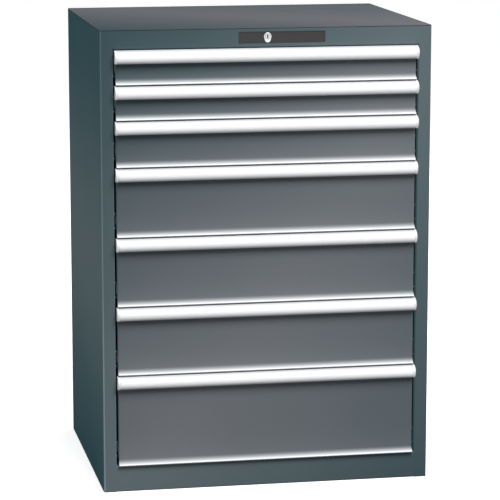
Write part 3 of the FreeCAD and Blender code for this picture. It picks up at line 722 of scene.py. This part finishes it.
low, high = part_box("lock_cylinder")
face_y, back_y = low[1], high[1]
angles = lock_headings(np.array([(1.0, 0.0)]))
bore = disc_reach(angles, PLUG_RADIUS + PLUG_PLAY)
steps = [(bore, back_y), (drop_reach(angles), back_y)]
for turn in np.linspace(0.0, math.pi / 2, END_STEPS):
    steps.append((drop_reach(angles, CYLINDER_EDGE * (1 - math.cos(turn))),
                  face_y + CYLINDER_EDGE * (1 - math.sin(turn))))
steps += [(bore + COUNTERSINK, face_y), (bore, face_y + COUNTERSINK)]
lock_chrome = chrome_finish("lock_chrome", CYLINDER_CHROME)
add_piece("lock_barrel", [solid([lock_ring(angles, reach, y) for reach, y in steps], looped=True)],
          lock_chrome, "housing", ["lock_cylinder"], smooth_to=LOCK_SMOOTH)


# Lock plug: the turning core, brass under the same plating, with an upright key slot milled into
# its face. Its rim is chamfered, and the slot is painted dark inside, as painted shade.
KEY_SLOT = np.array([2.2 * MM, 8.0 * MM])
SLOT_DEPTH = 14.0 * MM
SLOT_EDGE = 0.2 * MM
PLUG_CHAMFER = 0.6 * MM
# Depth over which the key slot is painted into shade:
SLOT_SHADE_DEPTH = 0.9 * MM
PLUG_CHROME = (0.60, 0.61, 0.63, 1.0)
face_y, back_y = PLUG_LOW[1], PLUG_HIGH[1]
half_slot = KEY_SLOT / 2
angles = lock_headings(half_slot * np.array([(-1, -1), (-1, 1), (1, -1), (1, 1)]))
circle = disc_reach(angles, PLUG_RADIUS)
slot = box_reach(angles, -half_slot, half_slot)
steps = [(slot, face_y + SLOT_DEPTH), (slot, face_y + SLOT_EDGE), (slot + SLOT_EDGE, face_y),
         (circle - PLUG_CHAMFER, face_y), (circle, face_y + PLUG_CHAMFER), (circle, back_y)]
plug_chrome = chrome_finish("plug_chrome", PLUG_CHROME, SLOT_SHADE_DEPTH, face_y)
add_piece("key_plug", [solid([lock_ring(angles, reach, y) for reach, y in steps])], plug_chrome,
          "lock_core", ["lock_plug"], smooth_to=LOCK_SMOOTH)


# Drawer fronts: one steel sheet each, folded back along the top and the sides and curled forward
# at the foot, in a paler grey coat than the housing with the same painted sheen band. The curled lip
# has a painted highlight, white where it turns up to the light, and its cut edge keeps the dark of
# the coat.
FRONT_SHEET = 1.2 * MM
TOP_RETURN = 12.0 * MM
SIDE_RETURN = 11.0 * MM
LIP_RADIUS = 14.0 * MM
LIP_TURN = math.radians(60.0)
LIP_STRAIGHT = 3.0 * MM
LIP_HEIGHT = LIP_RADIUS * math.sin(LIP_TURN) + LIP_STRAIGHT * math.cos(LIP_TURN)
# The front coat's deep shade, and the pale one of its painted sheen band:
FRONT_DEEP = (0.058, 0.088, 0.102, 1.0)
FRONT_SHEEN = (0.154, 0.164, 0.179, 1.0)
FRONT_ROUGH = 0.50
FRONT_MIDDLE = 0.4
# The lip's painted highlight: its colour, how far up the lip it reaches, the edge left out of it,
# and its strength.
LIP_HIGHLIGHT_WHITE = (0.90, 0.91, 0.93, 1.0)
LIP_HIGHLIGHT_REACH = 23.0 * MM
DARK_EDGE = 0.9 * MM
LIP_HIGHLIGHT_GAIN = 1.4
EDGE_ROUND = 0.35 * MM
SIDE_FOLD = 2.4 * MM
FOLD_STEPS = 7
FOLD_FADE = 3.0 * MM
BEND_INSIDE = 0.4 * MM
RETURN_GAP = 0.6 * MM
RETURN_EDGE = 0.2 * MM
RETURN_CORNER = 2.0 * MM


def front_loop(panel_y, low, top):
    """Side section of a front in (y, z): its top return, its face, and the lip, which turns by
    LIP_TURN about the bend in the face and ends in a short straight run."""
    reach = LIP_RADIUS * math.tan(LIP_TURN / 2)
    bend_z = low + LIP_HEIGHT - reach
    ahead = np.array([-math.sin(LIP_TURN), -math.cos(LIP_TURN)])
    behind = np.array([math.cos(LIP_TURN), -math.sin(LIP_TURN)])
    edge = np.array([panel_y, bend_z]) + ahead * (reach + LIP_STRAIGHT)
    back_bend = np.array([panel_y + FRONT_SHEET, bend_z - FRONT_SHEET * math.tan(LIP_TURN / 2)])
    corners = [(panel_y + TOP_RETURN, top), (panel_y, top), (panel_y, bend_z), edge,
               edge + behind * FRONT_SHEET, back_bend,
               (panel_y + FRONT_SHEET, top - FRONT_SHEET), (panel_y + TOP_RETURN, top - FRONT_SHEET)]
    half = FRONT_SHEET / 2 - LEAST_RUN
    radii = [half, FRONT_SHEET + BEND_INSIDE, LIP_RADIUS, half, half, LIP_RADIUS + FRONT_SHEET,
             BEND_INSIDE, half]
    return rounded_loop(corners, radii)


def folded_sides(loop, panel_y, low_x, high_x):
    """The sheet from side to side, with its face turning back at either end over a fold of radius
    r: at angle a it is r * (1 - sin(a)) from the side and r * (1 - cos(a)) back. The turn fades out
    over the lip and towards the back edge of the top return."""
    angles = np.linspace(math.pi / 2, 0.0, FOLD_STEPS)
    from_side, back = SIDE_FOLD * (1 - np.sin(angles)), SIDE_FOLD * (1 - np.cos(angles))
    stations = np.concatenate([low_x + from_side, (high_x - from_side)[::-1]])
    back = np.concatenate([back, back[::-1]])
    behind = loop[:, 0] - panel_y
    share = np.clip(1 - behind / TOP_RETURN, 0.0, 1.0) * np.clip(1 + behind / FOLD_FADE, 0.0, 1.0)
    flat = np.broadcast_to(loop, (len(stations),) + loop.shape).copy()
    flat[:, :, 0] += back[:, None] * share[None]
    return solid(np.insert(flat, 0, stations[:, None], axis=2))


def painted_lip_highlight(nodes, place, sheen_share, colours):
    """Painted highlight: the lip is painted white by the fourth power of its attribute, as far as
    its cut edge.
    """
    lip = nodes.add("ShaderNodeAttribute", {"attribute_name": "lip"}, {}, "Fac")
    bright = (lip * lip * lip * lip * LIP_HIGHLIGHT_GAIN).clamped() * lip.below(1.0 - DARK_EDGE / LIP_HIGHLIGHT_REACH)
    return nodes.mix(bright, colours, LIP_HIGHLIGHT_WHITE)


front_paint = paint_finish("front_paint", FRONT_DEEP, FRONT_SHEEN, FRONT_ROUGH, middle=FRONT_MIDDLE,
                           shades=painted_lip_highlight)
for n in DRAWERS:
    low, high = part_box(f"drawer_{n}_front")
    panel_y = high[1] - TOP_RETURN
    fold_y, return_y = panel_y + SIDE_FOLD, panel_y + SIDE_RETURN
    lip_z, return_z = low[2] + LIP_HEIGHT, high[2] - RETURN_GAP
    loop = rounded_loop([(fold_y, lip_z), (return_y, lip_z),
                         (return_y, return_z), (fold_y, return_z)],
                        [RETURN_EDGE, RETURN_CORNER, RETURN_CORNER, RETURN_EDGE])
    shapes = [folded_sides(front_loop(panel_y, low[2], high[2]), panel_y, low[0], high[0])]
    for start_x in (low[0], high[0] - FRONT_SHEET):
        shapes.append(carried(loop, 0, start_x, start_x + FRONT_SHEET, (EDGE_ROUND, EDGE_ROUND)))

    def lip_share(points, low_z=low[2]):
        """0 on the flat face, rising to 1 at the lip's edge."""
        return np.clip(1.0 - (points[:, 2] - low_z) / LIP_HIGHLIGHT_REACH, 0.0, 1.0)

    add_piece(f"front_sheet_{n}", shapes, front_paint, f"drawer_{n}",
              [f"drawer_{n}_front"], values=("lip", lip_share))


# Grip strips: one aluminium extrusion along the top of each front, with a rounded nose and a
# mouth that opens downwards for the fingers. It is satin anodised, and clipped over the sheet.
GRIP_NOSE_DROP = 13.5 * MM
GRIP_WALL = 2.0 * MM
GRIP_MOUTH_REACH = 12.5 * MM
# Where the painted shade under the nose starts, down from the top:
GRIP_SHADE_START = 11.0 * MM
GRIP_TIP = 0.45 * MM
WEB_EASE = 0.3 * MM
NOSE_POINTS = 33
MOUTH_POINTS = 29
GRIP_METAL = 0.25
GRIP_ROUGH = 0.42
GRIP_BRIGHT = (0.86, 0.87, 0.89, 1.0)
# The colour of the painted shade at the mouth:
GRIP_SHADE = (0.20, 0.20, 0.21, 1.0)
MARKS_STRETCH = (4.0, 900.0, 900.0)
MARKS_HEIGHT = 0.03 * MM


def ellipse_run(nose, reach, above, below, first, last, count):
    """Points (y, z) of the nose: an ellipse quarter above its widest line and one below, between
    two angles, 0 at the nose and positive upwards."""
    angles = np.linspace(first, last, count)
    rise = np.where(angles > 0, above, below)
    return np.column_stack([nose[0] - reach * np.cos(angles), nose[1] + rise * np.sin(angles)])


def grip_loop(back_y, low, top, reach, hollow=True):
    """Section of the grip strip, or of its end cap when it isn't hollow."""
    nose = (back_y, top - GRIP_NOSE_DROP)
    end = math.acos(GRIP_MOUTH_REACH / reach)
    below = (nose[1] - low) / math.sin(end)
    outer = ellipse_run(nose, reach, GRIP_NOSE_DROP, below, math.pi / 2, -end,
                        NOSE_POINTS)
    if not hollow:
        return np.vstack([outer, [(back_y, low)]])
    start = math.acos(GRIP_WALL / (reach - GRIP_WALL))
    inner = ellipse_run(nose, reach - GRIP_WALL, GRIP_NOSE_DROP - GRIP_WALL, below - GRIP_WALL,
                        -end, start, MOUTH_POINTS)
    tip = (outer[-1] + inner[0]) / 2 - np.array([0.0, GRIP_TIP])
    web_y = back_y - GRIP_WALL
    web = [(web_y, low + WEB_EASE), (web_y + WEB_EASE, low), (back_y - WEB_EASE, low),
           (back_y, low + WEB_EASE)]
    return np.vstack([outer, [tip], inner, web])


def aluminium_finish():
    """Satin anodised extrusion with fine marks along its length. It is painted darker towards the
    mouth, as painted shade under the nose, by the square of the under attribute."""
    material, nodes = new_finish("grip_aluminium")
    place = nodes.object_place()
    under = nodes.add("ShaderNodeAttribute", {"attribute_name": "under"}, {}, "Fac")
    shades = nodes.mix(under * under, GRIP_BRIGHT, GRIP_SHADE)
    stretched = nodes.add("ShaderNodeMapping", {}, {"Vector": place, "Scale": MARKS_STRETCH})
    marks = nodes.noise(stretched, 1.0)
    nodes.surface({"Base Color": shades, "Metallic": GRIP_METAL,
                   "Roughness": GRIP_ROUGH + marks * 0.1,
                   "Normal": nodes.bump(marks, MARKS_HEIGHT, 0.3)})
    return material


grip_aluminium = aluminium_finish()
for n in DRAWERS:
    low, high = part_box(f"drawer_{n}_handle")
    loop = grip_loop(high[1], low[2], high[2], high[1] - low[1])
    strip = carried(loop, 0, low[0], high[0], (CUT_EDGE / 2, CUT_EDGE / 2))

    def under_share(points, low_z=low[2], start_z=high[2] - GRIP_SHADE_START):
        """0 down to the start of the painted shade, rising to 1 at the mouth."""
        return np.clip((start_z - points[:, 2]) / (start_z - low_z), 0.0, 1.0)

    add_piece(f"grip_strip_{n}", [strip], grip_aluminium, f"drawer_{n}",
              [f"drawer_{n}_handle"], values=("under", under_share))


# End caps: moulded plates, one at each end of a strip, that close its section. Their outer edges
# are rounded, and a fine seam shows where they meet the extrusion.
END_CAP_WIDTH = 5.0 * MM
END_CAP_ROUND = 0.9 * MM
CAP_SEAM = 0.12 * MM
CAP_SILVER = (0.80, 0.81, 0.82, 1.0)
CAP_ROUGH = 0.38
cap_plastic = plastic_finish("cap_plastic", CAP_SILVER, CAP_ROUGH)
for n in DRAWERS:
    low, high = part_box(f"drawer_{n}_end_caps")
    loop = grip_loop(high[1], low[2], high[2], high[1] - low[1], hollow=False)
    width = END_CAP_WIDTH - CAP_SEAM
    caps = [carried(loop, 0, start_x, start_x + width, (END_CAP_ROUND, END_CAP_ROUND))
            for start_x in (low[0], high[0] - width)]
    add_piece(f"end_caps_{n}", caps, cap_plastic, f"drawer_{n}",
              [f"drawer_{n}_end_caps"])


# Drawer trays: sheet steel spot-welded into a box behind each front, powder coated in grey. The
# walls have fine upright slots for partitions, the side walls end in a turned-out rim, and the
# runners and the lock's catch are welded on outside.
TRAY_SHEET = 1.2 * MM
TRAY_RIM = 5.0 * MM
RUNNER_DEPTH = 14.0 * MM
RUNNER_HEIGHT = 34.0 * MM
RUNNER_SHEET = 2.0 * MM
RUNNER_RISE = 5.0 * MM
RUNNER_SETBACK = 10.0 * MM
SLOT_PITCH = 17.0 * MM
SLOT_WIDTH = 3.0 * MM
SLOT_MARGIN = 10.0 * MM
SIDE_SLOT_FOOT = 40.0 * MM
CATCH_REACH = 14.0 * MM
CATCH_WIDTH = 24.0 * MM
CATCH_SHEET = 3.0 * MM
CATCH_LIP = 10.0 * MM
CATCH_UNDER = 37.0 * MM
# The tray coat's deep shade, and the pale one of its painted sheen band:
TRAY_DEEP = (0.110, 0.125, 0.135, 1.0)
TRAY_SHEEN = (0.118, 0.132, 0.142, 1.0)
TRAY_ROUGH = 0.45


def slotted_sheet(along, up, holes, axis, near, far):
    """A flat sheet between two depths of an axis, with rectangular holes. along and up are the
    lines of a grid over it, and holes says which cells are open. Each closed cell has a face on
    either side, and a wall stands on each grid edge between a closed and an open cell."""
    grid = np.stack(np.meshgrid(along, up, indexing="ij"), axis=2).reshape(-1, 2)
    vertices = np.concatenate([np.insert(grid, axis, depth, axis=1) for depth in (near, far)])
    count = len(grid)
    index = np.arange(count).reshape(len(along), len(up))
    closed = ~holes
    corners = (index[:-1, :-1], index[1:, :-1], index[1:, 1:], index[:-1, 1:])
    face = np.stack([corner[closed] for corner in corners], axis=1)
    faces = [face, face[:, ::-1] + count]
    around = np.pad(closed, 1)
    for first, last, before, after in (
            (index[:, :-1], index[:, 1:], around[:-1, 1:-1], around[1:, 1:-1]),
            (index[1:, :], index[:-1, :], around[1:-1, :-1], around[1:-1, 1:])):
        starts, ends = after & ~before, before & ~after
        for begin, end in ((first[starts], last[starts]), (last[ends], first[ends])):
            faces.append(np.stack([begin, end, end + count, begin + count], axis=1))
    faces = np.concatenate(faces)
    triangles = np.concatenate([faces[:, [0, 1, 2]], faces[:, [0, 2, 3]]])
    return vertices, turned_out(vertices, triangles, faces.tolist())


def wall(start, end, low_z, high_z, foot, axis, near, far):
    """A tray wall with its row of slots, evenly spread about its middle. A wall too low for slots
    stays closed."""
    count = int((end - start - SLOT_PITCH) / SLOT_PITCH)
    middles = (start + end) / 2 + (np.arange(count) - (count - 1) / 2) * SLOT_PITCH
    edges = np.column_stack([middles - SLOT_WIDTH / 2, middles + SLOT_WIDTH / 2]).ravel()
    along = np.concatenate([[start], edges, [end]])
    up = np.array([low_z, low_z + foot, high_z - SLOT_MARGIN, high_z])
    holes = np.zeros((len(along) - 1, 3), bool)
    if up[2] - up[1] > 2 * SLOT_WIDTH:
        holes[1::2, 1] = True
    else:
        up = np.linspace(low_z, high_z, 4)
    return slotted_sheet(along, up, holes, axis, near, far)


tray_paint = paint_finish("tray_paint", TRAY_DEEP, TRAY_SHEEN, TRAY_ROUGH)
for n in DRAWERS:
    low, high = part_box(f"drawer_{n}_tray")
    half = high[0] - RUNNER_DEPTH
    inner = half - TRAY_SHEET
    front_y, lip_y = low[1], high[1]
    back_y = lip_y - CATCH_REACH
    floor_z, top_z = low[2] + TRAY_SHEET, high[2]
    shapes = [block((-half, front_y, low[2]), (half, back_y, floor_z))]
    for near, far in ((front_y, front_y + TRAY_SHEET), (back_y, back_y - TRAY_SHEET)):
        shapes.append(wall(-inner, inner, floor_z, top_z, SLOT_MARGIN, 1, near, far))
    foot_z, crown_z = low[2] + RUNNER_RISE, low[2] + RUNNER_RISE + RUNNER_HEIGHT
    web_x, open_x = half + RUNNER_SHEET, high[0]
    channel = [(half, foot_z), (open_x, foot_z), (open_x, foot_z + RUNNER_SHEET),
               (web_x, foot_z + RUNNER_SHEET), (web_x, crown_z - RUNNER_SHEET),
               (open_x, crown_z - RUNNER_SHEET), (open_x, crown_z), (half, crown_z)]
    runner = rounded_loop(channel, [2 * RUNNER_SHEET] + [CUT_EDGE] * 2 + [RUNNER_SHEET] * 2
                          + [CUT_EDGE] * 2 + [2 * RUNNER_SHEET])
    for side in (-1, 1):
        shapes.append(wall(front_y, back_y, floor_z, top_z, SIDE_SLOT_FOOT, 0,
                           side * half, side * inner))
        ends = sorted((side * (inner + TRAY_SHEET / 2), side * (half + TRAY_RIM)))
        shapes.append(block((ends[0], front_y, top_z - TRAY_SHEET), (ends[1], back_y, top_z)))
        shapes.append(carried(runner * (side, 1), 1, front_y + RUNNER_SETBACK, back_y,
                              (CUT_EDGE, CUT_EDGE)))
    under_z = low[2] + CATCH_UNDER
    catch = rounded_loop([(back_y, under_z), (lip_y - CATCH_SHEET, under_z),
                          (lip_y - CATCH_SHEET, under_z - CATCH_LIP), (lip_y, under_z - CATCH_LIP),
                          (lip_y, under_z + CATCH_SHEET), (back_y, under_z + CATCH_SHEET)],
                         [SHARP] + [CUT_EDGE] * 3 + [CATCH_SHEET, SHARP])
    shapes.append(carried(catch, 0, -CATCH_WIDTH / 2, CATCH_WIDTH / 2, (CUT_EDGE, CUT_EDGE)))
    add_piece(f"tray_{n}", shapes, tray_paint, f"drawer_{n}", [f"drawer_{n}_tray"])


# Rollers and glides: moulded nylon, a roller and a glide on each face of each middle rail. The
# rollers turn on steel rivets through their hubs, and the glides are blocks with eased edges.
MIDDLE_RAIL = 3.0 * MM
SLIDE_TRAVEL = 230.0 * MM
BEARING_MARGIN = 18.0 * MM
BEARING_WIDTH = 12.7 * MM
GLIDE_LENGTH = 35.0 * MM
GLIDE_EASE = 2.0 * MM
ROLLER_TREAD_ROUND = 1.0 * MM
ROLLER_RIM = 3.0 * MM
HUB_RADIUS = 6.5 * MM
RIVET_RADIUS = 4.0 * MM
ROLLER_RECESS = 1.2 * MM
HUB_SINK = 0.4 * ROLLER_RECESS
RIVET_SINK = 0.1 * ROLLER_RECESS
RIVET_DOME = (0.8 * RIVET_RADIUS, 0.3 * RIVET_RADIUS)
TREAD_STEPS = 4
ROLLER_POINTS = 40
ROLLER_WHITE = (0.50, 0.50, 0.48, 1.0)
ROLLER_ROUGH = 0.45


def roller(face_x, outward, y, z, radius):
    """A roller turned about x from the rail's face outwards, as (offset, radius) stations: tread
    with rounded edges, rim, recessed web, hub and the domed rivet in its middle."""
    turn = np.linspace(0.0, math.pi / 2, TREAD_STEPS)
    edge_in = ROLLER_TREAD_ROUND * (1 - np.cos(turn))
    edge_radii = radius - ROLLER_TREAD_ROUND * (1 - np.sin(turn))
    sinks = np.array([0.0, ROLLER_RECESS, ROLLER_RECESS, HUB_SINK, HUB_SINK, RIVET_SINK, 0.0])
    face_radii = [radius - ROLLER_RIM, radius - ROLLER_RIM, HUB_RADIUS, HUB_RADIUS, RIVET_RADIUS,
                  *RIVET_DOME]
    offsets = np.concatenate([edge_in, BEARING_WIDTH - edge_in[::-1], BEARING_WIDTH - sinks])
    offsets = offsets[:, None]
    radii = np.concatenate([edge_radii, edge_radii[::-1], face_radii])[:, None]
    angles = np.linspace(0.0, 2 * math.pi, ROLLER_POINTS, endpoint=False)[None]
    return solid(np.stack([np.broadcast_to(face_x + outward * offsets, (len(radii), ROLLER_POINTS)),
                           y + radii * np.cos(angles), z + radii * np.sin(angles)], axis=2))


roller_plastic = plastic_finish("roller_plastic", ROLLER_WHITE, ROLLER_ROUGH)
for n in DRAWERS:
    rails_low, rails_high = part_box(f"slide_{n}_rails")
    low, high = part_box(f"slide_{n}_rollers")
    radius = (high[2] - low[2]) / 2
    z = (high[2] + low[2]) / 2
    inboard = (rails_low[1] + BEARING_MARGIN,
               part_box(f"drawer_{n}_tray")[1][1] - CATCH_REACH - SLIDE_TRAVEL - BEARING_MARGIN)
    outboard = (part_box("cabinet_rails")[0][1] + SLIDE_TRAVEL + BEARING_MARGIN,
                rails_high[1] - BEARING_MARGIN)
    shapes = []
    for side in (-1, 1):
        for face, outward, (roller_y, glide_y) in ((rails_high[0] - MIDDLE_RAIL, -1, inboard),
                                                   (rails_high[0], 1, outboard)):
            shapes.append(roller(side * face, side * outward, roller_y, z, radius))
            ends = sorted((side * face, side * (face + outward * BEARING_WIDTH)))
            shapes.append(block((ends[0], glide_y - GLIDE_LENGTH / 2, z - radius),
                                (ends[1], glide_y + GLIDE_LENGTH / 2, z + radius), GLIDE_EASE))
    add_piece(f"bearings_{n}", shapes, roller_plastic, f"slide_{n}", [f"slide_{n}_rollers"])
